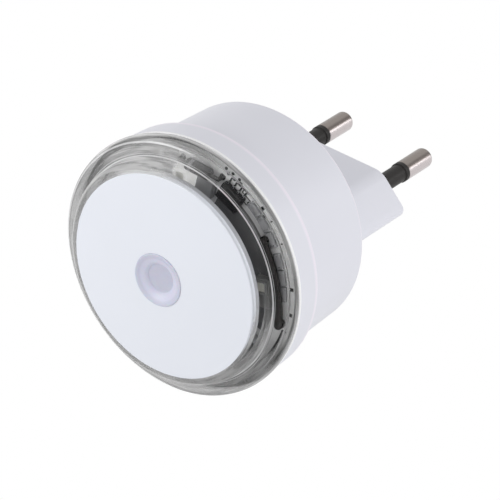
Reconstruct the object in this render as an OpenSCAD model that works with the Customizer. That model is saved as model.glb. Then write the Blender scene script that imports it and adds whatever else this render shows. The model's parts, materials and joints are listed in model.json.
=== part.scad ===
// Plug-in night light: a round white housing with a two-pin plug block behind,
// a clear moulded light ring in front and a domed cover with a twilight sensor.
//
// Axes: X along the line of the pins, +Y into the wall, +Z up.
// Origin: centre of the face that the pins stand on.
// Every piece is drawn with z as its distance in front of that face and y as
// its height, and facing_out() then turns z to -Y and y to +Z.

/* [Light ring] */
// Outside diameter of the clear ring, the widest part of the light
ring_d = 51.4; // [51:0.1:53]
// Wall of the clear ring
ring_wall = 1.7; // [1.2:0.1:2]
// Length of the clear ring, from its foot to the rim of the cover
ring_l = 7.6; // [7.4:0.1:8.4]

/* [Cover] */
// Diameter of the white cover disc
cover_d = 40.8; // [40:0.2:41.4]
// Height of the cover's dome over its rim
cover_rise = 1.6; // [1:0.1:2.4]
// Wall of the cover
cover_wall = 1.8; // [1.4:0.1:2.2]
// Diameter of the sensor window
window_d = 10.6; // [9:0.2:13]

/* [Housing] */
// Diameter of the housing at its rear edge
can_d = 45.2; // [45:0.2:46]
// Diameter of the housing where it meets the flange
mouth_d = 46.6; // [46:0.2:48]
// Diameter of the flange that carries the ring
flange_d = 50.6; // [50:0.1:51]
// Length of the housing, from its rear wall to the front of the flange
can_l = 24.2; // [21:0.2:30]
// Length of the flange
flange_l = 6.2; // [5:0.2:8]
// Wall of the housing
wall = 1.9; // [1.5:0.1:2]

/* [Plug] */
// Length of the plug block behind the housing
block_l = 20; // [16:0.5:24]
// Width of the plug block
block_w = 37.6; // [36:0.2:38]
// Height of the plug block
block_h = 12.4; // [12:0.1:14]
// Distance between the axes of the pins
pin_pitch = 19; // [18:0.5:19]
// Diameter of the bare end of a pin
pin_d = 4; // [4:0.1:4.8]
// Length of a pin in front of the block
pin_l = 19.5; // [18:0.5:20]
// Length of the black sleeve on a pin
sleeve_l = 11.5; // [10:0.5:12]

/* [Board] */
// Thickness of the circuit board
board_t = 1.6; // [1:0.2:1.6]

/* [Hidden] */
$fn = 64;

// Stations along the axis, measured from the pin face towards the room.
can_z = block_l;
foot_z = can_z + can_l;
flange_z = foot_z - flange_l;
rim_z = foot_z + ring_l;
board_top = foot_z - 0.2;
board_z = board_top - board_t;
seat_z = rim_z - cover_wall;

// Radii.
ring_r = ring_d / 2;
cover_r = cover_d / 2;
can_r = can_d / 2;
flange_r = flange_d / 2;
mouth_r = mouth_d / 2;
pocket_r = flange_r - 1.3;
cavity_r = can_r - wall;
cavity_top_r = mouth_r - wall;
board_r = pocket_r - 0.1;
window_r = window_d / 2;
bore_r = cover_r - 1.4;
lip_t = 1.4;
ease = 0.1;

// The hooks that hold the cover in the ring's mouth.
hook_n = 4;
hook_arc = 28;
hook_t = 1.2;
hook_l = 1.6;
hook_out = 0.6;

// The ring's section is two steps: a wide lower one that rolls in to its foot,
// and a narrow upper one that carries the cover.
bead_r = 4;
bead_at = [ring_r - bead_r, foot_z + 2];
shelf_z = foot_z + 4.1;
shoulder_r = 0.8;
tier_r = cover_r + 1.85;
step_r = 0.35;
crest_r = 2.05;
crest_at = [tier_r - crest_r, rim_z - crest_r];

// Pins, sleeves and what holds them.
pin_r = pin_d / 2;
core_r = 1.3;
sleeve_r = 1.8;
collar_r = pin_r;
collar_l = 1.2;
pin_x = pin_pitch / 2;
tip_round = 0.9;
face_t = 2;
insert_t = 6;
insert_z = face_t + insert_t;
tail_l = 1.6;
strip_t = 0.6;
strip_w = 4;
strip_x = pin_x + 3.4;
strip_in = 2.2;
strip_bend = 1;

// The plug block's outline: a flat hexagon with points left and right.
block_flat = 24.2;
block_round = 1.6;
block_wall = 1.8;
collar_out = 1.4;
collar_t = 1.2;

// Inside the can.
boss_r = 2.6;
boss_bore_l = 9;
rib_n = 6;
rib_t = 1.2;
rib_in = 1;

// The sensor window and what it sits in.
spigot_r = window_r - 0.7;
window_floor = rim_z + 0.2;
window_proud = 0.3;
dish_r = 2.9;
dish_l = 0.8;
hub_t = 1.2;

// Places and sizes of the parts on the board; places are [x, y].
screw_at = [[-15.5, -10], [15.5, -10]];
screw_r = 1.1;
lead_r = 0.4;
lead_out = 0.8;
led_n = 4;
led_ring = 17.6;
led_from = 10;
film_at = [0, 9.5];
film_size = [13, 5.5, 11];
film_pitch = 10;
can_cap_at = [6.5, -11];
can_cap_r = 3.15;
can_cap_l = 11;
can_cap_pitch = 2.5;
bridge_at = [-7.5, 0];
bridge_size = [5, 6.6, 2.6];
bridge_pitch = [3, 5];
fuse_at = [-3, -14.5];
fuse_r = 1.25;
fuse_l = 6.4;
fuse_pitch = 10;
fuse_up = 1.6;
amp_at = [7, 1.5];
amp_r = 2.4;
amp_l = 4.6;
amp_pitch = 1.27;
amp_gap = 3;
amp_back = 1.2;
chip_size = [5, 3.6, 1.4];
chip_leg = [0.4, 1.6, 0.4];
chip_pitch = 1.27;
chip_ring = 19.4;
chip_turn = 66;
axial_r = 1.25;
axial_l = 5.2;
axial_pitch = 9;
axial_ring = 20.6;
axial_turn = -2;
smd_size = [3, 1.5, 0.6];
smd_ring = 21.6;
smd_from = [8, 36];
smd_step = 8.5;
led_size = [3.5, 2.8, 1.9];
tube_r = 4.4;
tube_bore = 3.2;
tube_foot = [5.6, 1];
eye_r = 1.5;
eye_l = 3;
eye_base = [2.5, 1];
head_r = [2.1, 1.6];
head_l = 1.4;
slot_size = [2.2, 0.5, 1.4];

// Turns a piece drawn along z so that z points out of the wall, along -Y.
module facing_out() rotate([90, 0, 0]) children();

// Places its children at one pin: -1 is the left one and 1 the right one.
module at_pin(side) translate([side * pin_x, 0, 0]) children();

// Points of the plug block's outline, drawn in by a distance.
function block_points(inset) =
    let (w = block_w / 2, f = block_flat / 2, h = block_h / 2, s = h / (w - f))
    let (d = inset / sin(atan(s)), e = inset * tan(atan(s) / 2))
    [
        [w - d, 0], [f - e, h - inset], [e - f, h - inset],
        [d - w, 0], [e - f, inset - h], [f - e, inset - h]
    ];

// A closed outline of straight sides whose corners are arcs of radius r round
// the points given.
module round_outline(points, r) {
    n = len(points);
    polygon([
        for (i = [0 : n - 1])
            let (a = points[i], b = points[(i + 1) % n], v = (b - a) / norm(b - a))
            each [a + r * [v.y, -v.x], b + r * [v.y, -v.x]]
    ]);
    for (p = points) translate(p) circle(r);
}

// The plug block's outline, drawn in by a distance.
module block_outline(inset) round_outline(block_points(inset + block_round), block_round);

// The leads of a part behind the board, from a depth z0 through the board.
module leads(places, z0) {
    for (p = places) translate([p.x, p.y, z0])
        cylinder(r = lead_r, h = board_top + lead_out - z0, $fn = 24);
}

// Lead places of the parts that stand behind the board.
film_leads = [for (s = [-1, 1]) film_at + [s * film_pitch / 2, 0]];
can_leads = [for (s = [-1, 1]) can_cap_at + [s * can_cap_pitch / 2, 0]];
bridge_leads = [for (s = [-1, 1], t = [-1, 1]) bridge_at + [s * bridge_pitch.x / 2, t * bridge_pitch.y / 2]];
fuse_leads = [for (s = [-1, 1]) fuse_at + [s * fuse_pitch / 2, 0]];
amp_leads = [for (s = [-1, 0, 1]) amp_at + [s * amp_pitch, 0]];
axial_leads = [
    for (s = [-1, 1]) axial_ring * [-sin(axial_turn), cos(axial_turn)]
        + s * axial_pitch / 2 * [cos(axial_turn), sin(axial_turn)]
];
all_leads = concat(film_leads, can_leads, bridge_leads, fuse_leads, amp_leads, axial_leads);

// Half section of the can and its flange, with the edges eased by arcs. The
// flange's front edge is cut back to leave a fine groove under the ring's foot.
module can_section() {
    edge = 1.3;
    small = 0.6;
    rear_r = flange_r - 0.3;
    groove = 0.25;
    polygon([
        [0, can_z], [can_r - edge, can_z], [can_r, can_z + edge], [mouth_r, flange_z],
        [rear_r - small, flange_z], [rear_r, flange_z + small], [flange_r, foot_z - groove],
        [flange_r - groove, foot_z], [0, foot_z]
    ]);
    translate([can_r - edge, can_z + edge]) circle(edge);
    translate([rear_r - small, flange_z + small]) circle(small);
}

module rear_housing() color([0.90, 0.90, 0.92]) facing_out() {
    floor_z = can_z + wall;
    root_z = can_z + wall / 2;
    difference() {
        union() {
            difference() {
                rotate_extrude($fn = 96) can_section();
                rotate_extrude($fn = 96) polygon([
                    [0, floor_z], [cavity_r, floor_z], [cavity_top_r, board_z], [pocket_r, board_z],
                    [pocket_r, foot_z + 1], [0, foot_z + 1]
                ]);
            }
            for (p = screw_at) translate([p.x, p.y, root_z]) cylinder(r = boss_r, h = board_z - root_z);
            for (i = [0 : rib_n - 1]) rotate(360 / rib_n * i)
                translate([cavity_r - rib_in, -rib_t / 2, root_z])
                    cube([rib_in + wall * 0.8, rib_t, board_z - root_z]);
        }
        translate([0, 0, can_z - 1]) linear_extrude(wall + 2) block_outline(0);
        for (p = screw_at) translate([p.x, p.y, board_z - boss_bore_l])
            cylinder(r = screw_r, h = boss_bore_l + 1);
    }
}

// The plug block: a hollow six-sided moulding pushed through the can's rear
// wall from inside, where its collar stops it.
module plug_block() color([0.90, 0.90, 0.92]) facing_out() difference() {
    union() {
        linear_extrude(can_z + wall) block_outline(0);
        translate([0, 0, can_z + wall]) linear_extrude(collar_t) block_outline(-collar_out);
    }
    translate([0, 0, face_t]) linear_extrude(can_z + wall) block_outline(block_wall);
    for (s = [-1, 1]) at_pin(s) translate([0, 0, -1]) cylinder(r = sleeve_r, h = face_t + 2);
}

module pin_insert() color([0.30, 0.30, 0.32]) facing_out() difference() {
    translate([0, 0, face_t]) linear_extrude(insert_t) block_outline(block_wall);
    for (s = [-1, 1]) at_pin(s) translate([0, 0, face_t - 1]) cylinder(r = sleeve_r, h = insert_t + 2);
    translate([0, 0, face_t + 2]) cylinder(r = 4, h = insert_t);
}

// A pin: bare rounded end, thinner core inside the sleeve and a tail behind.
module pin(side) color([0.78, 0.76, 0.74]) facing_out() at_pin(side) rotate_extrude() {
    translate([0, tip_round - pin_l]) square([pin_r, pin_l - sleeve_l - tip_round]);
    translate([0, -pin_l]) square([pin_r - tip_round, tip_round]);
    intersection() {
        translate([pin_r - tip_round, tip_round - pin_l]) circle(tip_round);
        translate([0, -pin_l]) square([pin_r, tip_round + 0.2]);
    }
    translate([0, -sleeve_l]) square([core_r, sleeve_l + insert_z + strip_t + tail_l]);
}

// A sleeve: a tube with a thicker collar where the bare metal starts.
module sleeve(side) color([0.13, 0.13, 0.14]) facing_out() at_pin(side) rotate_extrude() {
    translate([core_r, -sleeve_l]) square([sleeve_r - core_r, sleeve_l + insert_z]);
    translate([core_r, -sleeve_l]) square([collar_r - core_r, collar_l]);
}

// A bent brass strip from a pin's tail up to the board.
module contact_strip(side) color([0.80, 0.62, 0.30]) facing_out() {
    foot_l = strip_x - strip_bend - pin_x + strip_in;
    riser_z = insert_z + strip_bend;
    difference() {
        rotate([90, 0, 0]) linear_extrude(strip_w, center = true) mirror([side < 0 ? 1 : 0, 0]) {
            translate([pin_x - strip_in, insert_z]) square([foot_l, strip_t]);
            translate([strip_x - strip_t, riser_z]) square([strip_t, board_top + lead_out - riser_z]);
            translate([strip_x - strip_bend, riser_z]) intersection() {
                difference() {
                    circle(strip_bend);
                    circle(strip_bend - strip_t);
                }
                translate([0, -strip_bend]) square(strip_bend);
            }
        }
        at_pin(side) translate([0, 0, insert_z - 1]) cylinder(r = core_r, h = strip_t + 2);
    }
}

// The ring's outer outline: the rolled lower step with its rounded shoulder, a
// small fillet, and the upper step with its round crest.
module ring_outline() {
    reach = bead_r - shoulder_r;
    rise = shelf_z - shoulder_r - bead_at.y;
    shoulder_at = bead_at + [sqrt(reach * reach - rise * rise), rise];
    turn = atan2(shoulder_at.y - bead_at.y, shoulder_at.x - bead_at.x);
    intersection() {
        translate(bead_at) circle(bead_r, $fn = 96);
        polygon([
            bead_at, bead_at + 2 * bead_r * [cos(turn), sin(turn)], [2 * ring_r, foot_z],
            [bead_at.x, foot_z]
        ]);
    }
    translate(shoulder_at) circle(shoulder_r);
    translate([0, foot_z]) square([bead_at.x, shelf_z - foot_z]);
    polygon([bead_at, shoulder_at, [shoulder_at.x, shelf_z], [bead_at.x, shelf_z]]);
    translate([0, foot_z]) square([tier_r, crest_at.y - foot_z]);
    translate([0, foot_z]) square([crest_at.x, rim_z - foot_z]);
    translate([tier_r, shelf_z]) difference() {
        square(step_r);
        translate([step_r, step_r]) circle(step_r);
    }
    translate(crest_at) circle(crest_r, $fn = 96);
}

// The hollow behind the ring's wall, up to the lip under the cover.
module ring_hollow() {
    ceiling = shelf_z - ring_wall;
    intersection() {
        translate(bead_at) circle(bead_r - ring_wall, $fn = 96);
        translate([bead_at.x - 1, foot_z - 1]) square([bead_r + 1, ceiling - foot_z + 1]);
    }
    translate([0, foot_z - 1]) square([bead_at.x, ceiling - foot_z + 1]);
    translate([0, foot_z - 1]) square([tier_r - ring_wall, seat_z - lip_t - foot_z + 1]);
    translate([0, foot_z - 1]) square([bore_r, 2 * ring_l]);
    translate([0, seat_z]) square([cover_r + ease, 2 * cover_wall]);
}

// Half section of the clear ring: an even wall that follows both steps, with a
// lip turned in under the cover.
module ring_section() {
    difference() {
        ring_outline();
        ring_hollow();
    }
}

module clear_ring() color([0.85, 0.90, 0.95, 0.5]) facing_out() rotate_extrude($fn = 96) ring_section();

// Half section of the cover: a shallow dome of even wall with a rounded rim.
module cover_section() {
    dome_r = (cover_r * cover_r + cover_rise * cover_rise) / (2 * cover_rise);
    crown_z = rim_z + cover_rise;
    intersection() {
        difference() {
            translate([0, crown_z - dome_r]) circle(dome_r, $fn = 360);
            translate([0, crown_z - dome_r - cover_wall]) circle(dome_r, $fn = 360);
        }
        translate([0, seat_z]) square([cover_r, 3 * cover_wall]);
    }
}

// Half section of one of the cover's hooks, with its barb under the ring's lip.
module hook_section() {
    face_r = bore_r - ease;
    barb_z = seat_z - lip_t;
    translate([face_r - hook_t, barb_z - hook_l]) square([hook_t, rim_z - barb_z + hook_l]);
    polygon([[face_r, barb_z - hook_l], [face_r + hook_out, barb_z], [face_r, barb_z]]);
}

module cover_disc() color([0.89, 0.90, 0.94]) facing_out() {
    difference() {
        union() {
            rotate_extrude($fn = 96) cover_section();
            for (i = [0 : hook_n - 1]) rotate((i + 0.5) * 360 / hook_n - hook_arc / 2)
                rotate_extrude(angle = hook_arc, $fn = 96) hook_section();
            rotate_extrude() translate([spigot_r + ease, seat_z])
                square([window_r + hub_t - spigot_r - ease, rim_z + 1 - seat_z]);
        }
        translate([0, 0, seat_z - 1]) cylinder(r = spigot_r, h = 10);
        translate([0, 0, window_floor]) cylinder(r = window_r, h = 10);
    }
}

// The sensor window: a shallow dish with a proud rim and a spigot behind.
module sensor_window() color([0.80, 0.80, 0.90, 0.8]) facing_out() rotate_extrude() {
    top = rim_z + cover_rise + window_proud;
    edge = 0.25;
    polygon([
        [0, seat_z], [spigot_r, seat_z], [spigot_r, window_floor],
        [window_r, window_floor], [window_r, top - edge], [window_r - edge, top],
        [window_r - 0.6, top], [dish_r, top - dish_l], [0, top - dish_l]
    ]);
}

module sensor_tube() color([0.16, 0.16, 0.17]) facing_out() difference() {
    union() {
        translate([0, 0, board_top]) cylinder(r = tube_r, h = seat_z - board_top);
        translate([0, 0, board_top]) cylinder(r = tube_foot[0], h = tube_foot[1]);
    }
    translate([0, 0, board_top - 1]) cylinder(r = tube_bore, h = seat_z);
}

// The light sensor: a clear domed body on a wider base, inside the tube.
module photo_sensor() color([0.75, 0.72, 0.85]) facing_out() translate([0, 0, board_top]) {
    cylinder(r = eye_base[0], h = eye_base[1]);
    cylinder(r = eye_r, h = eye_l);
    translate([0, 0, eye_l]) sphere(eye_r);
}

module circuit_board() color([0.50, 0.51, 0.52]) facing_out() difference() {
    translate([0, 0, board_z]) cylinder(r = board_r, h = board_t);
    for (p = all_leads) translate([p.x, p.y, board_z - 1]) cylinder(r = lead_r, h = board_t + 2, $fn = 24);
    for (p = screw_at) translate([p.x, p.y, board_z - 1]) cylinder(r = screw_r, h = board_t + 2);
    for (s = [-1, 1]) translate([s * (strip_x - strip_t / 2), 0, board_z])
        cube([strip_t, strip_w, 4 * board_t], center = true);
}

// Two pan-head screws that hold the board on its bosses.
module board_screws() color([0.65, 0.66, 0.68]) facing_out() for (p = screw_at) translate([p.x, p.y, 0]) {
    translate([0, 0, board_top - boss_bore_l]) cylinder(r = screw_r, h = boss_bore_l);
    translate([0, 0, board_top]) difference() {
        cylinder(r1 = head_r[0], r2 = head_r[1], h = head_l);
        for (a = [0, 90]) rotate(a) translate([0, 0, head_l]) cube(slot_size, center = true);
    }
}

module film_capacitor() color([0.86, 0.72, 0.20]) facing_out() {
    translate([film_at.x, film_at.y, board_z - film_size.z / 2]) cube(film_size, center = true);
    leads(film_leads, board_z - 1);
}

module electrolytic_capacitor() color([0.20, 0.22, 0.30]) facing_out() {
    translate([can_cap_at.x, can_cap_at.y, 0]) {
        translate([0, 0, board_z - can_cap_l]) cylinder(r = can_cap_r, h = can_cap_l - 2);
        translate([0, 0, board_z - 2]) cylinder(r = can_cap_r - 0.3, h = 1);
        translate([0, 0, board_z - 1]) cylinder(r = can_cap_r, h = 1);
    }
    leads(can_leads, board_z - 1);
}

module bridge_rectifier() color([0.12, 0.12, 0.13]) facing_out() {
    translate([bridge_at.x, bridge_at.y, board_z - bridge_size.z / 2]) cube(bridge_size, center = true);
    leads(bridge_leads, board_z - 1);
}

// A round part that lies along X on two leads, bent up or down by a distance.
module lying_part(r, l, pitch, reach) {
    rotate([0, 90, 0]) {
        cylinder(r = r, h = l, center = true);
        cylinder(r = lead_r, h = pitch, center = true, $fn = 24);
    }
    for (s = [-1, 1]) translate([s * pitch / 2, 0, 0]) {
        sphere(lead_r, $fn = 24);
        translate([0, 0, min(reach, 0)]) cylinder(r = lead_r, h = abs(reach), $fn = 24);
    }
}

module fuse_resistor() color([0.75, 0.35, 0.30]) facing_out()
    translate([fuse_at.x, fuse_at.y, board_z - fuse_up])
        lying_part(fuse_r, fuse_l, fuse_pitch, fuse_up + board_t + lead_out);

module transistor() color([0.12, 0.12, 0.13]) facing_out() {
    translate([amp_at.x, amp_at.y, board_z - amp_gap - amp_l]) intersection() {
        cylinder(r = amp_r, h = amp_l);
        translate([-amp_r, -amp_back, 0]) cube([2 * amp_r, 2 * amp_r, amp_l]);
    }
    leads(amp_leads, board_z - amp_gap - 1);
}

// The eight-legged driver on the front of the board.
module driver_chip() color([0.10, 0.10, 0.11]) facing_out() {
    rotate(chip_turn) translate([chip_ring, 0, board_top]) rotate(90) {
        translate([0, 0, ease + chip_size.z / 2]) cube(chip_size, center = true);
        for (s = [-1, 1], i = [0 : 3])
            translate([(i - 1.5) * chip_pitch, s * (chip_size.y / 2 + 0.5), chip_leg.z / 2])
                cube(chip_leg, center = true);
    }
}

// The black diode that lies across the top of the board on two bent leads.
module axial_diode() color([0.10, 0.10, 0.11]) facing_out()
    rotate(axial_turn) translate([0, axial_ring, board_top + axial_r])
        lying_part(axial_r, axial_l, axial_pitch, -axial_r - board_t - lead_out);

// A diode of the light: body, recessed yellow face and two end caps.
module led(i) color([0.95, 0.88, 0.55]) facing_out()
    rotate(led_from + 360 / led_n * i) translate([led_ring, 0, board_top])
        difference() {
            translate([0, 0, led_size.z / 2]) cube([led_size.y, led_size.x, led_size.z], center = true);
            translate([0, 0, led_size.z - 0.4]) cylinder(r1 = 0.9, r2 = 1.2, h = 0.41);
        }

// A flat resistor on the front of the board, along its edge.
module chip_resistor(i) color([0.12, 0.12, 0.14]) facing_out()
    rotate(smd_from[i % 2] + smd_step * floor((i - 1) / 2))
        translate([smd_ring, 0, board_top + smd_size.z / 2])
            cube([smd_size.y, smd_size.x, smd_size.z], center = true);

rear_housing();
plug_block();
pin_insert();
pin(-1);  // pin_left
pin(1);  // pin_right
sleeve(-1);  // sleeve_left
sleeve(1);  // sleeve_right
contact_strip(-1);  // contact_strip_left
contact_strip(1);  // contact_strip_right
clear_ring();
cover_disc();
sensor_window();
sensor_tube();
photo_sensor();
circuit_board();
board_screws();
film_capacitor();
electrolytic_capacitor();
bridge_rectifier();
fuse_resistor();
transistor();
driver_chip();
axial_diode();
led(1);  // led_1
led(2);  // led_2
led(3);  // led_3
led(4);  // led_4
chip_resistor(1);  // chip_resistor_1
chip_resistor(2);  // chip_resistor_2
chip_resistor(3);  // chip_resistor_3
chip_resistor(4);  // chip_resistor_4
chip_resistor(5);  // chip_resistor_5
chip_resistor(6);  // chip_resistor_6
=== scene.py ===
import bpy, bmesh, math, json
from mathutils import Vector, Matrix

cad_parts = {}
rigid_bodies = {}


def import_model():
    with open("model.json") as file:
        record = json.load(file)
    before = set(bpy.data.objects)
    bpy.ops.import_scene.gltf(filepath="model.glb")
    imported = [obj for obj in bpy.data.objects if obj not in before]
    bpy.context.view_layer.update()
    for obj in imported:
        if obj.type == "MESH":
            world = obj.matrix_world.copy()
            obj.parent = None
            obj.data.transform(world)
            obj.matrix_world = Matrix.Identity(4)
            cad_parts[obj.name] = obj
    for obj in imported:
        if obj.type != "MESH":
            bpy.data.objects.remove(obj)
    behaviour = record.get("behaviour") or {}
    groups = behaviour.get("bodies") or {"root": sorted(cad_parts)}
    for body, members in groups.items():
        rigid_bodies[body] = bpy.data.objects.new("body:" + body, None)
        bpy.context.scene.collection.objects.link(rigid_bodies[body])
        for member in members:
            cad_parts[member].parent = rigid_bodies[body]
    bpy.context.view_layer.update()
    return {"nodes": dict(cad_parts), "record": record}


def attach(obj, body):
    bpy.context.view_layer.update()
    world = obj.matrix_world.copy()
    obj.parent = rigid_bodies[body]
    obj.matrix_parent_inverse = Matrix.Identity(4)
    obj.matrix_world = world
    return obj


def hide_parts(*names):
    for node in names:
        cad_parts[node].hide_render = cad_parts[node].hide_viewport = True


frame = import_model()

print("frame loaded:", len(frame["nodes"]), "pieces")

mm = 0.001
colours = {                                    # as seen in plain white light, linear
    "shell": (0.765, 0.77, 0.835, 1),
    # painted highlights on the shell: pinkish on its rear edges, white along its seam
    "shellHighlight": (0.93, 0.86, 0.95, 1),
    "seamHighlight": (0.97, 0.97, 0.98, 1),
    "cover": (0.80, 0.825, 0.89, 1),
    "window": (0.60, 0.60, 0.72, 1),
    "ring": (0.95, 0.95, 0.95, 1),
    # the ring's painted highlights and its grey veil of painted reflection, with its streaks
    "veilAndHighlight": (0.90, 0.90, 0.91, 1),
    "veilGrey": (0.42, 0.42, 0.42, 1),
    "streak": (0.14, 0.14, 0.14, 1),
    # the pins' painted reflection: light, a dark band and a dark side
    "nickel": (0.60, 0.55, 0.55, 1),
    "nickelReflectionBand": (0.13, 0.11, 0.10, 1),
    "nickelReflectionDark": (0.25, 0.22, 0.20, 1),
    "sleeve": (0.022, 0.020, 0.019, 1),
    # the board paler than its own colour, as painted light; the dark colour below is also its painted shade
    "board": (0.90, 0.90, 0.90, 1),
    "darkJointAndShade": (0.15, 0.15, 0.153, 1),
    "copper": (0.05, 0.05, 0.05, 1),
    "solder": (0.62, 0.63, 0.64, 1),
    "lead": (0.10, 0.10, 0.10, 1),
    "epoxy": (0.020, 0.020, 0.021, 1),
    "phosphor": (0.88, 0.87, 0.78, 1),
    "ledBody": (0.96, 0.96, 0.95, 1),
    "ledDust": (0.8, 0.8, 0.8, 1),
    "unlit": (0, 0, 0, 1),
    "greyPart": (0.30, 0.30, 0.31, 1),
    "tube": (0.02, 0.02, 0.022, 1),
    "insert": (0.08, 0.08, 0.085, 1),
    "sensor": (0.35, 0.32, 0.5, 1),
    "film": (0.70, 0.48, 0.04, 1),
    "can": (0.03, 0.04, 0.08, 1),
    "fuse": (0.45, 0.10, 0.07, 1),
    "brass": (0.62, 0.40, 0.12, 1),
    "zinc": (0.55, 0.56, 0.58, 1),
}


class Wire:                                    # a socket that can be used in a sum
    def __init__(self, nodes, socket):
        self.nodes, self.socket = nodes, socket

    def sum(self, operation, first, second):
        return self.nodes.add("ShaderNodeMath", {"operation": operation}, {0: first, 1: second})

    def __add__(self, other): return self.sum("ADD", self, other)
    def __radd__(self, other): return self.sum("ADD", other, self)
    def __sub__(self, other): return self.sum("SUBTRACT", self, other)
    def __rsub__(self, other): return self.sum("SUBTRACT", other, self)
    def __mul__(self, other): return self.sum("MULTIPLY", self, other)
    def __rmul__(self, other): return self.sum("MULTIPLY", other, self)
    def __truediv__(self, other): return self.sum("DIVIDE", self, other)
    def __pow__(self, other): return self.sum("POWER", self, other)
    def __gt__(self, other): return self.sum("GREATER_THAN", self, other)
    def __lt__(self, other): return self.sum("LESS_THAN", self, other)


class Nodes:                                   # the nodes of a material or a world
    def __init__(self, holder):
        holder.use_nodes = True
        self.tree = holder.node_tree

    def add(self, kind, settings=None, inputs=None, out=0):
        node = self.tree.nodes.new(kind)
        for key, value in (settings or {}).items():
            setattr(node, key, value)
        for key, value in (inputs or {}).items():
            self.give(node.inputs[key], value)
        return Wire(self, node.outputs[out])

    def give(self, socket, value):
        if isinstance(value, Wire):
            self.tree.links.new(value.socket, socket)
        else:
            socket.default_value = value

    def larger(self, first, second):
        return self.add("ShaderNodeMath", {"operation": "MAXIMUM"}, {0: first, 1: second})


class Finish(Nodes):                           # one material round its plastic or metal shader
    def __init__(self, name, **shader):
        self.material = bpy.data.materials.new(name)
        super().__init__(self.material)
        self.shader = self.tree.nodes["Principled BSDF"]
        for socket, value in shader.items():
            self.give(self.shader.inputs[socket.replace("_", " ")], value)
        self.place = self.add("ShaderNodeTexCoord", out="Object")

    def feed(self, socket, value):
        self.give(self.shader.inputs[socket], value)

    def at(self, x, y, z):                     # a place of its own for a pattern
        return self.add("ShaderNodeCombineXYZ", None, {0: x, 1: y, 2: z})

    def noise(self, scale, detail=3, roughness=0.5, place=None):
        return self.add("ShaderNodeTexNoise", None, {"Vector": place or self.place, "Scale": scale,
                                                     "Detail": detail, "Roughness": roughness})

    def mix(self, factor, first, second):
        return self.add("ShaderNodeMix", {"data_type": "RGBA"}, {0: factor, 6: first, 7: second}, out=2)

    def rise(self, value, start, end):         # smoothly from 0 at the start to 1 at the end
        return self.add("ShaderNodeMapRange", {"interpolation_type": "SMOOTHSTEP"},
                        {"Value": value, "From Min": start, "From Max": end})

    def bump(self, height, strength, distance):
        self.feed("Normal", self.add("ShaderNodeBump", None,
                                     {"Height": height, "Strength": strength, "Distance": distance}))

    def axes(self):                            # x, y and z of the place, in metres
        split = self.add("ShaderNodeSeparateXYZ", None, {0: self.place})
        return [Wire(self, split.socket.node.outputs[i]) for i in range(3)]

    def around(self):                          # distance from the axis and in front of the pin face
        x, y, z = self.axes()
        return (x * x + z * z) ** 0.5, 0 - y

    def cloudy(self, colour):                  # the colour, very slightly uneven
        return self.mix(self.noise(60, 2), shade(colour, 0.985), shade(colour, 1.015))

    def moulded(self, roughness, grain=9000, depth=0.02):  # the skin of a moulding
        self.feed("Roughness", roughness + 0.06 * self.noise(700, 3))
        self.bump(self.noise(grain, 2), depth, 0.00002)
        return self.material


def shade(colour, factor):
    return tuple(min(1, c * factor) for c in colour[:3]) + (1,)


def near(value, band):                         # 1 in a band, given by its middle and half its width, in mm
    middle, half = band
    return (value > (middle - half) * mm) * (value < (middle + half) * mm)


def mouldedPlastic(name, colour, roughness, grain=9000, depth=0.02, **shader):
    finish = Finish(name, **shader)
    finish.feed("Base Color", finish.cloudy(colours[colour]))
    return finish.moulded(roughness, grain, depth)


shellLook = {"rearEdgeHighlight": (39.5, 38.6), "rearEdgeHighlightR": 24.4, "rearEdgeHighlightStrength": 0.75, "cornerHighlightFront": (20.4, 0.45),
             "cornerHighlightR": (22.2, 0.45), "seamHighlightFront": 43.8, "seamHighlightR": (25.2, 0.4), "roughness": 0.42}


def shellPlastic():                            # moulded white, with painted pinkish highlights on its rear edges and a painted highlight along the seam
    s = shellLook
    finish = Finish("shellPlastic", Specular_IOR_Level=0.4, Sheen_Weight=0.2, Sheen_Roughness=0.3)
    radius, front = finish.around()
    # painted highlights, pinkish, along the flange's rear edge and the can's rear edge
    start, end = s["rearEdgeHighlight"]
    edge = s["rearEdgeHighlightStrength"] * finish.rise(front, start * mm, end * mm) * (radius > s["rearEdgeHighlightR"] * mm)
    edge = edge + near(radius, s["cornerHighlightR"]) * near(front, s["cornerHighlightFront"])
    edge = edge * (0.7 + 0.3 * finish.noise(500, 1))
    tone = finish.mix(edge, finish.cloudy(colours["shell"]), colours["shellHighlight"])
    # painted highlight: a pale line along the seam at the flange's front rim
    seamHighlight = near(radius, s["seamHighlightR"]) * (front > s["seamHighlightFront"] * mm)
    finish.feed("Base Color", finish.mix(seamHighlight, tone, colours["seamHighlight"]))
    return finish.moulded(s["roughness"])


ledLook = {"shadedBeyond": 12, "grey": 0.3, "dust": 0.05, "paintedGlow": 0.35, "roughness": 0.40}


def ledPlastic():                              # white with a painted glow, and grey and unlit on the right as painted shade
    look = ledLook
    finish = Finish("ledPlastic", Emission_Strength=look["paintedGlow"])
    white = colours["ledBody"]
    # painted shade: the LED on the right grey and without its painted glow
    right = finish.axes()[0] > look["shadedBeyond"] * mm
    tone = finish.mix(right, white, shade(white, look["grey"]))
    finish.feed("Base Color", finish.mix(look["dust"] * finish.noise(60, 2), tone, colours["ledDust"]))
    finish.feed("Emission Color", finish.mix(right, white, colours["unlit"]))
    return finish.moulded(look["roughness"])


coverLook = {"edgeR": 20.3, "edgeFront": 50.9, "joint": 0.6, "roughness": 0.30}


def coverPlastic():                            # white, greyer low on its edge, where it sits in the ring
    c = coverLook
    finish = Finish("coverPlastic", Specular_IOR_Level=0.4)
    radius, front = finish.around()
    edge = (radius > c["edgeR"] * mm) * (front < c["edgeFront"] * mm)
    finish.feed("Base Color", finish.mix(c["joint"] * edge, finish.cloudy(colours["cover"]), colours["darkJointAndShade"]))
    return finish.moulded(c["roughness"])


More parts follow.
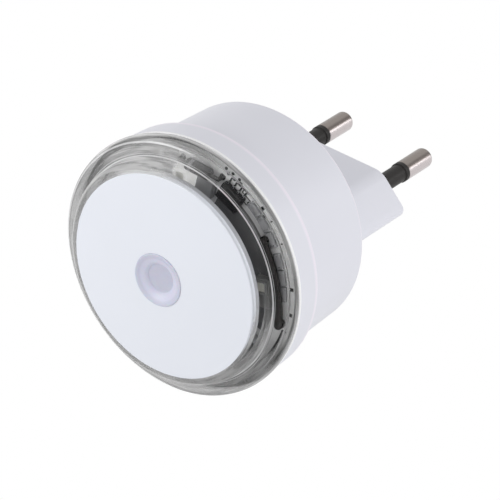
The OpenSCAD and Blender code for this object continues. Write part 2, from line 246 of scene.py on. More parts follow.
nickelLook = {"apart": 19, "reflectionLean": (0.77, -0.64), "shade": (-0.3, 0.25), "dark": (0.5, 1.1), "scuff": 0.2,
              "turning": (300, 9000), "roughness": 0.26}


def turnedNickel():                            # plated pins, with a painted reflection: light on one side and dark on the other
    n = nickelLook
    finish = Finish("turnedNickel", Metallic=1.0)
    x, y, z = finish.axes()
    across = x + n["apart"] / 2 * mm - n["apart"] * mm * (x > 0)
    # painted reflection across each pin: a dark band, then a darker side
    up, sideways = n["reflectionLean"]
    side = up * z + sideways * across
    broad, fine = n["turning"]
    marks = finish.noise(1, 2, place=finish.at(x * broad, y * fine, z * broad))
    tone = colours["nickel"]
    for key, darker in (("shade", "nickelReflectionBand"), ("dark", "nickelReflectionDark")):
        start, end = n[key]
        tone = finish.mix(finish.rise(side, start * mm, end * mm), tone, colours[darker])
    scuffs = n["scuff"] * finish.noise(900, 4, 0.6)
    finish.feed("Base Color", finish.mix(scuffs, tone, shade(colours["nickel"], 0.6)))
    finish.feed("Roughness", n["roughness"] + 0.10 * marks)
    finish.bump(marks, 0.01, 0.00003)
    return finish.material


clearLook = {
    # painted highlight lines, and a pale band low on the bead, by the middle and half the width of their
    # bands in mm, and how pale they are
    "step": (22.36, 0.09), "innerStepHighlight": (22.75, 0.07), "innerStepHighlightStrength": 0.7, "stepHighlightFront": (48.45, 0.30),
    "shoulder": (24.95, 0.16), "shoulderHighlightFront": 47.6, "foot": (44.36, 0.2), "footHighlightR": 24.9, "footHighlightStrength": 0.8,
    "lowR": 24.6, "lowFront": 46.2, "lowPale": 0.55,
    # veils and tones, by where they start and where they are full, and how strong they are; the veils and the
    # pale rim are painted reflection, the top a painted highlight
    "shoulderHighlightSide": (-0.25, 0.15), "left": (-0.4, 0.4), "bottom": (0.3, 0.8), "sideReflectionVeil": 0.4,
    "lowerRight": (1.2, 1.38), "cornerReflectionVeil": 0.5, "grazing": (0.38, 0.72), "rimVeil": 0.85,
    "rim": (0.78, 1.0), "top": (0.6, 0.95), "streak": (0.42, 0.6), "streakDark": 0.6,
    # how often the streaks change round the axis, outwards and forwards
    "streaks": (2.5, 1300, 900)}


def clearPlastic():                            # clear, with painted highlight lines on its steps and a streaky veil of painted reflection
    c = clearLook
    finish = Finish("clearPlastic", Transmission_Weight=1.0, IOR=1.02, Coat_Weight=0.1, Coat_IOR=1.5)
    finish.feed("Base Color", finish.mix(finish.noise(40, 1), shade(colours["ring"], 0.98), colours["ring"]))
    finish.feed("Roughness", 0.01 + 0.02 * finish.noise(300, 2))
    finish.bump(finish.noise(60, 1), 0.004, 0.0001)
    grazing = finish.add("ShaderNodeLayerWeight", None, {"Blend": 0.5}, out=1)
    x, _, z = finish.axes()
    radius, front = finish.around()
    toLeft, toBottom = (0 - x) / radius, (0 - z) / radius

    # painted highlights: pale lines on the step, the shoulder and the foot; the shoulder's fades towards the
    # right
    step = near(radius, c["step"]) + c["innerStepHighlightStrength"] * near(radius, c["innerStepHighlight"])
    step = step * near(front, c["stepHighlightFront"])
    shoulder = near(radius, c["shoulder"]) * (front > c["shoulderHighlightFront"] * mm)
    shoulder = shoulder * finish.rise(toLeft, *c["shoulderHighlightSide"])
    foot = near(front, c["foot"]) * (radius > c["footHighlightR"] * mm)
    highlightLines = (step + shoulder) * (0.45 + 0.4 * finish.noise(250, 2)) + c["footHighlightStrength"] * foot
    low = c["lowPale"] * ((front < c["lowFront"] * mm) * (radius > c["lowR"] * mm))

    # painted highlight: the veil twice as bright on the ring's top
    top = finish.rise((z - 0.3 * x) / radius, *c["top"])
    veilTone = finish.mix(top, shade(colours["veilGrey"], 1.15), shade(colours["veilGrey"], 2.0))
    angle = finish.add("ShaderNodeMath", {"operation": "ARCTAN2"}, {0: z, 1: x})
    turn, outward, forward = c["streaks"]
    streaks = finish.noise(1, 2, place=finish.at(angle * turn, radius * outward, front * forward))
    veilTone = finish.mix(c["streakDark"] * finish.rise(streaks, *c["streak"]), veilTone, colours["streak"])
    tone = finish.mix(finish.larger(highlightLines * 3, finish.rise(grazing, *c["rim"])), veilTone, colours["veilAndHighlight"])
    veilAndHighlight = finish.add("ShaderNodeBsdfPrincipled", None,
                       {"Base Color": tone, "Roughness": 0.25, "Specular IOR Level": 0.5})

    # painted reflection: a grey veil on the left, bottom and lower right sides, pale at grazing angles
    reflectionVeil = c["sideReflectionVeil"] * finish.larger(finish.rise(toLeft, *c["left"]), finish.rise(toBottom, *c["bottom"]))
    reflectionVeil = finish.larger(reflectionVeil, c["cornerReflectionVeil"] * finish.rise((x - z) / radius, *c["lowerRight"]))
    reflectionVeil = finish.larger(reflectionVeil, c["rimVeil"] * finish.rise(grazing, *c["grazing"]))
    pale = finish.larger(finish.larger(highlightLines, low), reflectionVeil)
    clear = Wire(finish, finish.shader.outputs[0])
    blend = finish.add("ShaderNodeMixShader", None, {0: pale, 1: clear, 2: veilAndHighlight})
    finish.give(finish.tree.nodes["Material Output"].inputs["Surface"], blend)
    return finish.material


windowLook = {"middle": (2.65, 3.05), "slope": (4.5, 4.0), "slopePale": 1.13, "middleDark": 0.93,
              "speck": 0.10, "ribs": 450.0, "grain": 2600, "roughness": 0.42}


def frostedWindow():                           # lilac dish, paler on its slope, ribbed in its middle
    w = windowLook
    lilac = colours["window"]
    finish = Finish("frostedWindow", Subsurface_Weight=0.25, Subsurface_Scale=0.003, Coat_Weight=0.08)
    radius, _ = finish.around()
    middle = 1 - finish.rise(radius, w["middle"][0] * mm, w["middle"][1] * mm)
    slope = finish.rise(radius, w["slope"][0] * mm, w["slope"][1] * mm)
    ribs = finish.add("ShaderNodeTexWave", {"wave_type": "BANDS", "bands_direction": "Z"},
                      {"Vector": finish.place, "Scale": w["ribs"], "Distortion": 1.5})
    grain = finish.noise(w["grain"], 2)
    tone = finish.mix(slope, lilac, shade(lilac, w["slopePale"]))
    tone = finish.mix(middle, tone, shade(lilac, w["middleDark"]))
    finish.feed("Base Color", finish.mix(w["speck"] * grain, tone, shade(lilac, 0.6)))
    finish.feed("Roughness", w["roughness"] + 0.15 * middle)
    finish.bump((ribs + grain) * middle, 0.2, 0.00006)
    return finish.material


boardLook = {"weave": 900.0, "dark": (0, 0, 0, 1), "light": (0.3, 0.3, 0.3, 1), "gap": (1, 1, 1, 1),
             "shadeAngle": 26, "shadeHalf": 48, "shadeR": 19.6, "wander": 0.5, "stain": 0.35, "roughness": 0.35}


def lacqueredBoard():                          # pale along the edge and paler than its own colour, painted light; dark inwards on the right, painted shade
    b = boardLook
    finish = Finish("lacqueredBoard", Coat_Weight=0.3)
    weave = finish.add("ShaderNodeTexBrick", None,
                       {"Vector": finish.place, "Scale": b["weave"],
                        "Color1": b["dark"], "Color2": b["light"], "Mortar": b["gap"]})
    x, _, z = finish.axes()
    radius, _ = finish.around()
    a = math.radians(b["shadeAngle"])
    toSide = (x * math.cos(a) + z * math.sin(a)) / radius
    # painted shade: dark inwards on the right, under the cover
    shaded = (radius + b["wander"] * mm * finish.noise(160, 2)) < b["shadeR"] * mm
    shaded = shaded * (toSide > math.cos(math.radians(b["shadeHalf"])))
    tone = finish.mix(shaded, colours["board"], colours["darkJointAndShade"])
    stains = b["stain"] * finish.noise(700, 4, 0.6)
    finish.feed("Base Color", finish.mix(stains, tone, shade(colours["board"], 0.35)))
    finish.feed("Roughness", b["roughness"] + 0.1 * finish.noise(900))
    finish.bump(weave, 0.05, 0.00002)
    return finish.material


def plainMetal(name, colour, roughness):
    metal = colours[colour]
    finish = Finish(name, Metallic=1.0)
    finish.feed("Base Color", finish.mix(finish.noise(1500, 3), shade(metal, 0.85), shade(metal, 1.05)))
    finish.feed("Roughness", roughness + 0.12 * finish.noise(2500))
    finish.bump(finish.noise(4000), 0.08, 0.00002)
    return finish.material


finishes = {                                   # by the record's material slots, and a few of the scene's own
    "shell": shellPlastic(),
    "cover": coverPlastic(),
    "window": frostedWindow(),
    "ring": clearPlastic(),
    "pins": turnedNickel(),
    "sleeves": mouldedPlastic("sleevePlastic", "sleeve", 0.42, 6000, 0.05, Specular_IOR_Level=0.2),
    "board": lacqueredBoard(),
    "dark_parts": mouldedPlastic("blackEpoxy", "epoxy", 0.5, 5000, 0.1),
    "leds": ledPlastic(),
    "phosphor": mouldedPlastic("phosphorFace", "phosphor", 0.4),
    "greyPart": mouldedPlastic("greyCeramic", "greyPart", 0.5),
    "tube": mouldedPlastic("mattBlack", "tube", 0.6),
    "insert": mouldedPlastic("darkInsert", "insert", 0.5),
    "sensor": mouldedPlastic("tintedResin", "sensor", 0.15, Coat_Weight=0.6),
    "film": mouldedPlastic("yellowEpoxy", "film", 0.3),
    "can": mouldedPlastic("canSleeve", "can", 0.3),
    "fuse": mouldedPlastic("fuseLacquer", "fuse", 0.35),
    "strips": plainMetal("bareBrass", "brass", 0.25),
    "screws": plainMetal("zincPlate", "zinc", 0.3),
    "copper": mouldedPlastic("trackLacquer", "copper", 0.4),
    "solder": plainMetal("solder", "solder", 0.22),
    "lead": plainMetal("dullLead", "lead", 0.35),
}
print("finishes made:", len(finishes))

for node in frame["record"]["subparts"]:       # every CAD node gets its finish
    for body in bpy.data.objects:
        if body.name == node["node"]:
            body.data.materials.clear()
            body.data.materials.append(finishes[node["material_slot"]])

weld = 1e-6                                    # metres within which two points are one


def between(start, end, steps):                # even steps from the start to the end
    return [start + (end - start) * i / steps for i in range(steps + 1)]


def arc(centre, radius, fromAngle, toAngle, steps):  # points round a corner, angles in degrees
    x, y = centre
    angles = [math.radians(angle) for angle in between(fromAngle, toAngle, steps)]
    return [(x + radius * math.cos(a), y + radius * math.sin(a)) for a in angles]


def finishMesh(bm, name, slots, replaced=(), sharp=32):  # the first slot is the one the record knows it by
    bmesh.ops.remove_doubles(bm, verts=bm.verts, dist=weld)
    bmesh.ops.recalc_face_normals(bm, faces=bm.faces)
    for face in bm.faces:
        face.smooth = True
    for edge in bm.edges:
        edge.smooth = not edge.is_manifold or edge.calc_face_angle(0) < math.radians(sharp)
    mesh = bpy.data.meshes.new(name)
    bm.to_mesh(mesh)
    bm.free()
    piece = bpy.data.objects.new(name, mesh)
    bpy.context.scene.collection.objects.link(piece)
    for slot in slots.split():
        mesh.materials.append(finishes[slot])
    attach(piece, "root")
    if replaced:
        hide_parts(*replaced)
    print("made", name)
    return piece


def spun(bm, outline, steps, closed=True):     # outline: (radius, distance in front of the pin face)
    points = [bm.verts.new((r * mm, -z * mm, 0)) for r, z in outline]
    pairs = zip(points, points[1:] + points[:1]) if closed else zip(points, points[1:])
    edges = [bm.edges.new(pair) for pair in pairs]
    bmesh.ops.spin(bm, geom=points + edges, cent=(0, 0, 0), axis=(0, 1, 0), angle=2 * math.pi,
                   steps=steps, use_merge=True, use_duplicate=False)
    bmesh.ops.remove_doubles(bm, verts=bm.verts, dist=weld)


def swept(bm, outline, fromAngle, turn, steps):  # a closed outline carried part of the way round the axis
    start = Matrix.Rotation(-math.radians(fromAngle), 4, "Y")
    face = bm.faces.new([bm.verts.new(start @ Vector((r * mm, -z * mm, 0))) for r, z in outline])
    bmesh.ops.spin(bm, geom=[face], cent=(0, 0, 0), axis=(0, -1, 0), angle=math.radians(turn), steps=steps,
                   use_duplicate=False)


def onBoard(angle, radius, height):            # a place with x outwards, y along the edge, z off the board
    a = math.radians(angle)
    turned = Matrix(((math.cos(a), -math.sin(a), 0), (0, 0, -1), (math.sin(a), math.cos(a), 0))).to_4x4()
    place = (radius * math.cos(a) * mm, -(board["top"] + height) * mm, radius * math.sin(a) * mm)
    return Matrix.Translation(place) @ turned


def moved(place, x, y, z):                     # in mm, along the place's own axes
    return place @ Matrix.Translation((x * mm, y * mm, z * mm))


def facesOf(verts):
    return {f for v in verts for f in v.link_faces}


def edgesOf(verts):
    return list({e for v in verts for e in v.link_edges})


def painted(faces, paint):                     # paint is the place of a finish among the piece's own
    for face in faces:
        face.material_index = paint


def block(bm, place, size, edge=0.0, paint=0):  # a box that stands on its place, its edges eased
    shape = Matrix.Diagonal([s * mm for s in size] + [1])
    verts = bmesh.ops.create_cube(bm, size=1, matrix=moved(place, 0, 0, size[2] / 2) @ shape)["verts"]
    faces = facesOf(verts)
    if edge:
        eased = bmesh.ops.bevel(bm, geom=edgesOf(verts), affect="EDGES", offset=edge * mm, segments=2,
                                profile=0.5, material=-1)
        faces = eased["faces"] + [f for f in faces if f.is_valid]
    painted(faces, paint)


def twoBlocks(bm, place, apart, size, edge, paint):  # one towards each end of a part
    for side in (-1, 1):
        block(bm, moved(place, 0, side * apart / 2, 0), size, edge, paint)


def rod(bm, place, radius, length, paint=0, segments=24, topR=None):  # a round bar that stands on its place
    top = radius if topR is None else topR
    verts = bmesh.ops.create_cone(bm, cap_ends=True, segments=segments, radius1=radius * mm, radius2=top * mm,
                                  depth=length * mm, matrix=moved(place, 0, 0, length / 2))["verts"]
    painted(facesOf(verts), paint)
    return verts


def ball(bm, place, radius, paint=0, segments=24):  # closes a bend or an end of a round bar
    verts = bmesh.ops.create_uvsphere(bm, u_segments=segments, v_segments=12, radius=radius * mm,
                                      matrix=place)["verts"]
    painted(facesOf(verts), paint)


housing = {"rear": 20, "front": 44.2, "flangeRear": 38, "canR": 22.6, "mouthR": 23.3, "flangeRearR": 25.0,
           "flangeR": 25.3, "pocketR": 24.0, "pocket": 42.4, "ledgeR": 22.1, "cavityR": 20.7, "wall": 1.9,
           "edge": 1.3, "flangeEdge": 0.6, "groove": 0.12, "corner": 0.22, "cornerFrom": (0.02, 0.3)}


def makeHousing():
    h = housing
    flangeEdge, (inward, before) = h["flangeEdge"], h["cornerFrom"]
    bm = bmesh.new()
    outline = [(0, h["rear"])]
    outline += arc((h["canR"] - h["edge"], h["rear"] + h["edge"]), h["edge"], -90, 0, 10)
    outline += [(h["mouthR"] - inward, h["flangeRear"] - before)]
    outline += arc((h["mouthR"] + h["corner"], h["flangeRear"] - h["corner"]), h["corner"], 180, 90, 5)[1:]
    outline += arc((h["flangeRearR"] - flangeEdge, h["flangeRear"] + flangeEdge), flangeEdge, -90, 0, 8)
    outline += [(h["flangeR"], h["front"] - h["groove"]), (h["flangeR"] - h["groove"], h["front"])]
    outline += [(h["pocketR"], h["front"]), (h["pocketR"], h["pocket"]), (h["ledgeR"], h["pocket"])]
    outline += [(h["cavityR"], h["rear"] + h["wall"]), (0, h["rear"] + h["wall"])]
    spun(bm, outline, 192, closed=False)
    finishMesh(bm, "housingShell", "shell", ["rear_housing"])


makeHousing()

plugBlock = {"width": 37.6, "flat": 24.2, "height": 12.4, "round": 1.6, "length": 21.5, "edge": 0.7,
             "sharp": 28}


def makePlugBlock():
    p = plugBlock
    bm = bmesh.new()
    w, f, h = p["width"] / 2, p["flat"] / 2, p["height"] / 2
    corners = [bm.verts.new((x * mm, 0, z * mm)) for x, z in
               ((w, 0), (f, h), (-f, h), (-w, 0), (-f, -h), (f, -h))]
    bm.faces.new(corners)
    bmesh.ops.bevel(bm, geom=corners, affect="VERTICES", offset=p["round"] * mm, segments=8, profile=0.5,
                    material=-1)
    grown = bmesh.ops.extrude_face_region(bm, geom=bm.faces[:1])
    front = [v for v in grown["geom"] if isinstance(v, bmesh.types.BMVert)]
    bmesh.ops.translate(bm, verts=front, vec=(0, -p["length"] * mm, 0))
    bm.normal_update()
    rim = [e for e in bm.edges if all(abs(v.co.y) < weld for v in e.verts)]
    bmesh.ops.bevel(bm, geom=rim, affect="EDGES", offset=p["edge"] * mm, segments=5, profile=0.5, material=-1)
    finishMesh(bm, "plugBlock", "shell", ["plug_block"], p["sharp"])


makePlugBlock()

pinSet = {"apart": 19, "bareR": 2, "coreR": 1.3, "length": 19.5, "tip": 0.9, "step": 0.1, "coreTail": 10.2,
          "sleeve": 11.5, "sleeveR": 1.8, "tail": 8, "collarR": 2.0, "collar": 1.2, "chamfer": 0.15}


def makePin(side):
    p = pinSet
    name = "left" if side < 0 else "right"
    move = (side * p["apart"] / 2 * mm, 0, 0)
    start, chamfer = -p["sleeve"], p["chamfer"]
    bm = bmesh.new()
    outline = [(0, -p["length"])]
    outline += arc((p["bareR"] - p["tip"], p["tip"] - p["length"]), p["tip"], -90, 0, 10)
    outline += [(p["bareR"], start - p["step"]), (p["bareR"] - p["step"], start), (p["coreR"], start)]
    outline += [(p["coreR"], p["coreTail"]), (0, p["coreTail"])]
    spun(bm, outline, 64, closed=False)
    bmesh.ops.translate(bm, verts=bm.verts, vec=move)
    finishMesh(bm, "pin" + name.title(), "pins", ["pin_" + name])
    bm = bmesh.new()
    outline = [(p["coreR"], start), (p["collarR"] - chamfer, start), (p["collarR"], start + chamfer)]
    outline += [(p["collarR"], start + p["collar"] - chamfer), (p["sleeveR"], start + p["collar"])]
    outline += [(p["sleeveR"], p["tail"]), (p["coreR"], p["tail"])]
    spun(bm, outline, 64)
    bmesh.ops.translate(bm, verts=bm.verts, vec=move)
    finishMesh(bm, "sleeve" + name.title(), "sleeves", ["sleeve_" + name])


for side in (-1, 1):
    makePin(side)

cover = {"radius": 20.4, "rim": 51.8, "rise": 1.6, "wall": 1.8, "seat": 50.0, "edge": 0.3, "edgeLift": 0.02,
         "holeR": 5.27, "throatR": 4.57, "windowSeat": 52.0, "hubR": 6.5, "innerR": 19.4}


def domeHeight(radius):                        # distance of the cover's face in front of the pins
    c = cover
    sphere = (c["radius"] ** 2 + c["rise"] ** 2) / (2 * c["rise"])
    return c["rim"] + c["rise"] - sphere + math.sqrt(sphere ** 2 - radius ** 2)


def makeCover():
    c = cover
    bm = bmesh.new()
    edgeR = c["radius"] - c["edge"]
    outline = [(r, domeHeight(r)) for r in between(c["holeR"], edgeR, 24)]
    outline += arc((edgeR, c["rim"] - c["edge"] + c["edgeLift"]), c["edge"], 84, 0, 6)
    outline += [(c["radius"], c["seat"])]
    outline += [(r, domeHeight(r) - c["wall"]) for r in between(c["innerR"], c["hubR"], 12)]
    outline += [(c["hubR"], c["seat"]), (c["throatR"], c["seat"])]
    outline += [(c["throatR"], c["windowSeat"]), (c["holeR"], c["windowSeat"])]
    spun(bm, outline, 256)
    finishMesh(bm, "coverDisc", "cover", ["cover_disc"])


makeCover()

window = {"radius": 5.25, "spigotR": 4.6, "proud": 0.2, "rimRound": 0.2, "floorR": 2.65, "sink": 1.15,
          "floorRound": 0.25, "slope": [(3.2, 0.75), (3.55, 0.52), (4.1, 0.38), (4.25, 0.26), (4.8, 0.06)]}


def makeWindow():                              # the slope holds (radius, depth below the window's top)
    w = window
    top = domeHeight(w["radius"]) + w["proud"]
    floor = top - w["sink"]
    bm = bmesh.new()
    outline = [(0, floor), (w["floorR"], floor)]
    outline += arc((w["floorR"], floor + w["floorRound"]), w["floorRound"], -90, -35, 4)[1:]
    outline += [(r, top - depth) for r, depth in w["slope"]]
    outline += arc((w["radius"] - w["rimRound"], top - w["rimRound"]), w["rimRound"], 110, 0, 6)
    outline += [(w["radius"], cover["windowSeat"]), (w["spigotR"], cover["windowSeat"])]
    outline += [(w["spigotR"], cover["seat"]), (0, cover["seat"])]
    spun(bm, outline, 128, closed=False)
    finishMesh(bm, "sensorWindow", "window", ["sensor_window"])


makeWindow()

ring = {"foot": 44.2, "beadR": 4, "beadAt": (21.7, 46.2), "shelf": 48.3, "shoulder": 0.8, "tierR": 22.25,
        "fillet": 0.35, "innerFillet": 0.3, "crest": 2.05, "rim": 51.8, "rimDrop": 0.05, "mouthR": 20.5,
        "wall": 1.7, "lipR": 19.0, "lip": 1.4, "seat": 50.0}


def makeRing():                                # bead, shoulder, shelf, crest, lip and back along the inside
    g = ring
    (bx, bz), t, fillet, inner = g["beadAt"], g["wall"], g["fillet"], g["innerFillet"]
    rise = g["shelf"] - g["shoulder"] - bz
    reach = math.sqrt((g["beadR"] - g["shoulder"]) ** 2 - rise ** 2)
    turn = math.degrees(math.atan2(rise, reach))
    footTurn = -math.degrees(math.asin((bz - g["foot"]) / g["beadR"]))
    innerFoot = -math.degrees(math.asin((bz - g["foot"]) / (g["beadR"] - t)))
    ceiling = g["shelf"] - t
    innerTop = math.degrees(math.asin((ceiling - bz) / (g["beadR"] - t)))
    lipZ = g["seat"] - g["lip"]
    bm = bmesh.new()
    outline = arc((bx, bz), g["beadR"], footTurn, turn, 24)
    outline += arc((bx + reach, bz + rise), g["shoulder"], turn, 90, 8)[1:]
    outline += arc((g["tierR"] + fillet, g["shelf"] + fillet), fillet, -90, -180, 6)
    outline += arc((g["tierR"] - g["crest"], g["rim"] - g["crest"]), g["crest"], 0, 90, 16)
    outline += [(g["mouthR"], g["rim"] - g["rimDrop"]), (g["mouthR"], g["seat"]), (g["lipR"], g["seat"])]
    outline += [(g["lipR"], lipZ), (g["tierR"] - t, lipZ)]
    outline += arc((g["tierR"] - t + inner, ceiling + inner), inner, 180, 270, 4)
    outline += arc((bx, bz), g["beadR"] - t, innerTop, innerFoot, 16)
    apart = [p for i, p in enumerate(outline) if i == 0 or math.dist(p, outline[i - 1]) > weld / mm]
    spun(bm, apart, 256)
    finishMesh(bm, "clearRing", "ring", ["clear_ring"])


makeRing()

board = {                                      # places as (angle, radius) and sizes in mm
    "top": 44.0, "sunk": 0.02, "trackTall": 0.05,
    # tracks: radius, two angles and width; links: angle, radius and length
    "tracks": [(22.4, 60, 68, 0.2), (21.7, 52, 63, 0.2), (20.4, 57, 66, 0.2), (22.6, -60, -12, 0.4),
               (22.2, 150, 176, 0.4), (22.8, 182, 262, 0.6), (21.4, 200, 246, 0.3)],
    "links": [(68, 22.0, 0.9), (63, 22.1, 0.9), (57, 21.1, 1.4), (44, 23.2, 0.5), (33, 23.2, 0.5),
              (-12, 22.9, 0.8), (-34, 22.9, 0.8), (150, 22.6, 0.9), (200, 22.1, 1.6)],
    "linkWide": 0.25, "linkTall": 0.07,
    "squarePads": [(51, 23.0), (52.5, 21.9), (47.5, 22.2), (66, 22.6), (11, 23.2), (-2, 23.2)],
    "squarePad": (0.8, 0.7, 0.12), "padEdge": 0.04,
    "roundPads": [(75.5, 23.2), (73.5, 22.6), (71.5, 23.2), (69.5, 22.5), (67.5, 23.2), (60, 20.6),
                  (57, 21.0)],
    "padR": 0.32, "padTall": 0.1, "padRim": 0.14, "padDip": 0.05}


def makeTracks():
    b = board
    bm = bmesh.new()
    low, high = b["top"] - b["sunk"], b["top"] + b["trackTall"]
    for radius, fromAngle, toAngle, width in b["tracks"]:
        inner, outer, turn = radius - width / 2, radius + width / 2, toAngle - fromAngle
        steps = max(6, round(abs(turn) / 2))
        swept(bm, [(inner, low), (outer, low), (outer, high), (inner, high)], fromAngle, turn, steps)
    for angle, radius, long in b["links"]:
        block(bm, onBoard(angle, radius, -b["sunk"]), (long, b["linkWide"], b["linkTall"]))
    painted(bm.faces, 1)
    finishMesh(bm, "boardTracks", "board copper")


def makePads():
    b = board
    bm = bmesh.new()
    for angle, radius in b["squarePads"]:
        block(bm, onBoard(angle, radius, -b["sunk"]), b["squarePad"], b["padEdge"])
    for angle, radius in b["roundPads"]:
        verts = rod(bm, onBoard(angle, radius, -b["sunk"]), b["padR"], b["padTall"], segments=16)
        top = max(facesOf(verts), key=lambda f: (len(f.verts), -f.calc_center_median().y))
        bmesh.ops.inset_region(bm, faces=[top], thickness=b["padRim"] * mm, depth=-b["padDip"] * mm)
    painted(bm.faces, 1)
    finishMesh(bm, "boardPads", "board copper")


led = {"from": 10, "step": 90, "ring": 17.6, "wide": 2.8, "long": 3.5, "tall": 1.9, "edge": 0.1, "lip": 0.4,
       "slope": 0.25, "sink": 0.35, "cap": 0.3, "capWide": 0.8, "capTall": 0.75, "capEdge": 0.08,
       "footTurn": -3.9, "foot": (3.3, 5.9, 1.5), "footEdge": 0.15}


def makeLed(number):                           # white cup, yellow face, white foot and two solder caps
    d = led
    angle = d["from"] + d["step"] * number
    place = onBoard(angle, d["ring"], 0)
    bm = bmesh.new()
    block(bm, place, (d["wide"], d["long"] - 2 * d["cap"], d["tall"]), d["edge"])
    face = min(bm.faces, key=lambda f: (round(f.calc_center_median().y, 5), -f.calc_area()))
    bmesh.ops.inset_region(bm, faces=[face], thickness=d["lip"] * mm)
    bmesh.ops.inset_region(bm, faces=[face], thickness=d["slope"] * mm, depth=-d["sink"] * mm)
    painted([face], 1)
    cap = (d["wide"] * d["capWide"], d["cap"], d["tall"] * d["capTall"])
    twoBlocks(bm, place, d["long"] - d["cap"], cap, d["capEdge"], 2)
    block(bm, onBoard(angle + d["footTurn"], d["ring"], 0), d["foot"], d["footEdge"])
    finishMesh(bm, "led%d" % number, "leds phosphor solder", ["led_%d" % number])


chipPart = {"from": (8, 36), "step": 8.5, "ring": 21.6, "wide": 1.5, "long": 3.0, "tall": 0.6, "body": 0.95,
            "edge": 0.05, "cap": 0.5, "capEdge": 0.08}


def makeChipPart(number):                      # grey body between two bright end caps
    c = chipPart
    place = onBoard(c["from"][number % 2] + c["step"] * ((number - 1) // 2), c["ring"], 0)
    bm = bmesh.new()
    block(bm, place, (c["wide"], c["long"] - 2 * c["cap"], c["tall"] * c["body"]), c["edge"])
    twoBlocks(bm, place, c["long"] - c["cap"], (c["wide"], c["cap"], c["tall"]), c["capEdge"], 1)
    piece = finishMesh(bm, "chipPart%d" % number, "dark_parts solder", ["chip_resistor_%d" % number])
    piece.data.materials[0] = finishes["greyPart"]


driver = {                                     # each leg's parts: how far out, length, height and eased edge
    "angle": 66, "ring": 19.4, "long": 5, "wide": 3.6, "tall": 1.4, "edge": 0.18, "lift": 0.1, "legs": 4,
    "leg": 0.4, "pitch": 1.27, "legParts": [(0.85, 0.9, 0.18, 0.04), (0.25, 0.5, 0.75, 0.08)]}


def makeDriver():
    d = driver
    place = onBoard(d["angle"], d["ring"], 0)
    bm = bmesh.new()
    block(bm, moved(place, 0, 0, d["lift"]), (d["wide"], d["long"], d["tall"]), d["edge"])
    for side in (-1, 1):
        for i in range(d["legs"]):
            along = (i - (d["legs"] - 1) / 2) * d["pitch"]
            for out, long, tall, edge in d["legParts"]:
                foot = moved(place, side * (d["wide"] / 2 + out), along, 0)
                block(bm, foot, (long, d["leg"], tall), edge, 1)
    finishMesh(bm, "driverChip", "dark_parts solder", ["driver_chip"])


diode = {"angle": 88, "ring": 20.6, "radius": 1.25, "long": 5.2, "edge": 0.25, "band": 0.7, "bandAt": 1.1,
         "bandProud": 0.02, "lead": 0.4, "reach": 4.5, "down": 3.65, "solderR": 0.65, "solder": 0.4}


def makeDiode():                               # black body with a grey band, on two bent leads
    d = diode
    middle = onBoard(d["angle"], d["ring"], d["radius"])
    along = middle @ Matrix.Rotation(math.radians(-90), 4, "X")
    bm = bmesh.new()
    verts = rod(bm, moved(along, 0, 0, -d["long"] / 2), d["radius"], d["long"], segments=32)
    rims = [e for e in edgesOf(verts) if e.calc_face_angle(0) > 1]
    bmesh.ops.bevel(bm, geom=rims, affect="EDGES", offset=d["edge"] * mm, segments=4, profile=0.5,
                    material=-1)
    rod(bm, moved(along, 0, 0, d["bandAt"]), d["radius"] + d["bandProud"], d["band"], 1, 32)
    rod(bm, moved(along, 0, 0, -d["reach"]), d["lead"], 2 * d["reach"], 2)
    for side in (-1, 1):
        bend = moved(middle, 0, side * d["reach"], 0)
        ball(bm, bend, d["lead"], 2)
        rod(bm, moved(bend, 0, 0, -d["down"]), d["lead"], d["down"], 2)
        rod(bm, moved(bend, 0, 0, -d["radius"]), d["solderR"], d["solder"], 2, topR=d["lead"])
    finishMesh(bm, "axialDiode", "dark_parts greyPart lead", ["axial_diode"])


wires = [{"centre": (-6.27, -4.40), "bendR": 28.23, "from": 36.8, "to": 2.5, "wireR": 0.75, "height": 1.4},
         {"centre": (3.1, -2.4), "bendR": 25.2, "from": 142, "to": 121, "wireR": 0.45, "height": 0.9}]
wireEndSize = 1.001                            # the ball at an end is a touch larger than the wire


def makeWire(number):                          # wire along the edge of the board, its ends bent down
    w = wires[number]
    x, z = w["centre"]
    centre = Matrix.Translation((x * mm, -(board["top"] + w["height"]) * mm, z * mm))
    ends = [moved(centre @ Matrix.Rotation(-math.radians(angle), 4, "Y"), w["bendR"], 0, 0)
            for angle in (w["from"], w["to"])]
    bm = bmesh.new()
    loop = bmesh.ops.create_circle(bm, cap_ends=False, segments=20, radius=w["wireR"] * mm,
                                   matrix=ends[0])["verts"]
    bmesh.ops.spin(bm, geom=list(loop) + edgesOf(loop), cent=centre.translation, axis=(0, -1, 0),
                   angle=math.radians(w["to"] - w["from"]), steps=40, use_duplicate=False)
    for end in ends:
        end = end @ Matrix.Rotation(math.radians(90), 4, "X")
        ball(bm, end, w["wireR"] * wireEndSize, segments=20)
        rod(bm, moved(end, 0, 0, -w["height"]), w["wireR"], w["height"], segments=20)
    finishMesh(bm, "boardWire%d" % (number + 1), "sleeves")


greyChip = {"angle": 82.5, "ring": 17.6, "side": 3.6, "tall": 1.6, "edge": 0.2, "capsApart": 3.4,
            "cap": (2.16, 0.5, 0.8), "capEdge": 0.06}


def makeGreyChip():
    g = greyChip
    place = onBoard(g["angle"], g["ring"], 0)
    bm = bmesh.new()
    block(bm, place, (g["side"], g["side"], g["tall"]), g["edge"])
    twoBlocks(bm, place, g["capsApart"], g["cap"], g["capEdge"], 1)
    piece = finishMesh(bm, "greyChip", "dark_parts solder")
    piece.data.materials[0] = finishes["greyPart"]


makeTracks()
makePads()
for number in range(1, 5):
    makeLed(number)
for number in range(1, 7):
    makeChipPart(number)
makeDriver()
makeDiode()
for number in range(len(wires)):
    makeWire(number)
makeGreyChip()

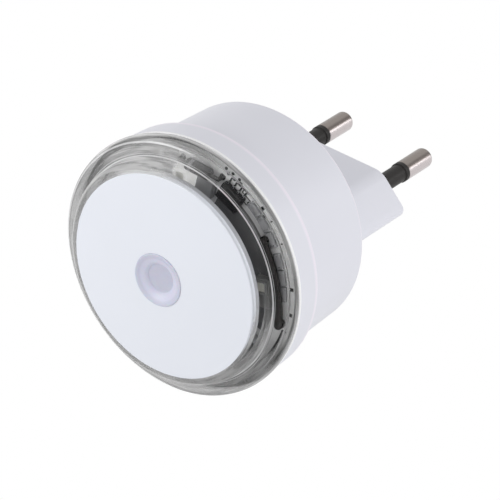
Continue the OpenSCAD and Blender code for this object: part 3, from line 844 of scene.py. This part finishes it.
stage = {"floor": -0.14, "size": 3.0, "white": 0.80, "world": 0.62}
lamps = {                                      # place and size in metres, power in watts
    "front": {"at": (-0.50, -0.74, 0.20), "size": 0.5, "power": 3.1},
    "side": {"at": (0.86, 0.02, -0.08), "size": 0.6, "power": 3.15},
    "back": {"at": (0.51, 0.60, 0.31), "size": 0.22, "power": 0.6},
    "top": {"at": (0.20, -0.10, 0.85), "size": 0.5, "power": 0.4},
}
lampAim = (0, -0.02, 0)
view = {"azimuth": 32.91, "elevation": 32.17, "roll": 7.09, "distance": 0.7024, "lens": 263.2, "sensor": 36,
        "aim": (-0.00634, -0.01419, -0.01396), "clip": (0.01, 20)}


def whiteForCamera(holder, grey, bright, plain, output):  # white behind the object, a grey level on it
    nodes = Nodes(holder)
    path = nodes.add("ShaderNodeLightPath", out="Is Camera Ray")
    seen = path
    for ray in ("Is Glossy Ray", "Is Transmission Ray"):
        seen = nodes.larger(seen, Wire(nodes, path.socket.node.outputs[ray]))
    white = nodes.add(bright, None, {"Color": (1, 1, 1, 1)})
    level = nodes.add(plain, None, {"Color": (grey, grey, grey, 1)})
    mixed = nodes.add("ShaderNodeMixShader", None, {0: seen, 1: level, 2: white})
    nodes.give(nodes.tree.nodes[output].inputs["Surface"], mixed)


def makeStage():
    bm = bmesh.new()
    bmesh.ops.create_grid(bm, x_segments=1, y_segments=1, size=stage["size"])
    bmesh.ops.translate(bm, verts=bm.verts, vec=(0, 0, stage["floor"]))
    mesh = bpy.data.meshes.new("floor")
    bm.to_mesh(mesh)
    bm.free()
    floor = bpy.data.objects.new("floor", mesh)
    bpy.context.scene.collection.objects.link(floor)
    material = bpy.data.materials.new("floorWhite")
    whiteForCamera(material, stage["white"], "ShaderNodeEmission", "ShaderNodeBsdfDiffuse", "Material Output")
    mesh.materials.append(material)
    world = bpy.data.worlds.new("studio")
    whiteForCamera(world, stage["world"], "ShaderNodeBackground", "ShaderNodeBackground", "World Output")
    bpy.context.scene.world = world


def makeLamps():
    for name, lamp in lamps.items():
        light = bpy.data.lights.new(name, "AREA")
        light.size, light.energy = lamp["size"], lamp["power"]
        holder = bpy.data.objects.new(name, light)
        bpy.context.scene.collection.objects.link(holder)
        holder.location = lamp["at"]
        holder.rotation_euler = (Vector(lampAim) - Vector(lamp["at"])).to_track_quat("-Z", "Y").to_euler()


def makeCamera():
    v = view
    az, el = math.radians(v["azimuth"]), math.radians(v["elevation"])
    back = Vector((math.sin(az) * math.cos(el), -math.cos(az) * math.cos(el), math.sin(el)))
    lens = bpy.data.cameras.new("camera")
    lens.lens, lens.sensor_width, lens.sensor_fit = v["lens"], v["sensor"], "HORIZONTAL"
    lens.clip_start, lens.clip_end = v["clip"]
    camera = bpy.data.objects.new("camera", lens)
    bpy.context.scene.collection.objects.link(camera)
    camera.location = Vector(v["aim"]) + back * v["distance"]
    turn = back.to_track_quat("Z", "Y").to_matrix() @ Matrix.Rotation(math.radians(v["roll"]), 3, "Z")
    camera.rotation_euler = turn.to_euler()
    bpy.context.scene.camera = camera


makeStage()
makeLamps()
makeCamera()
bpy.context.scene.view_settings.view_transform = "Standard"
print("stage, lamps and camera set")
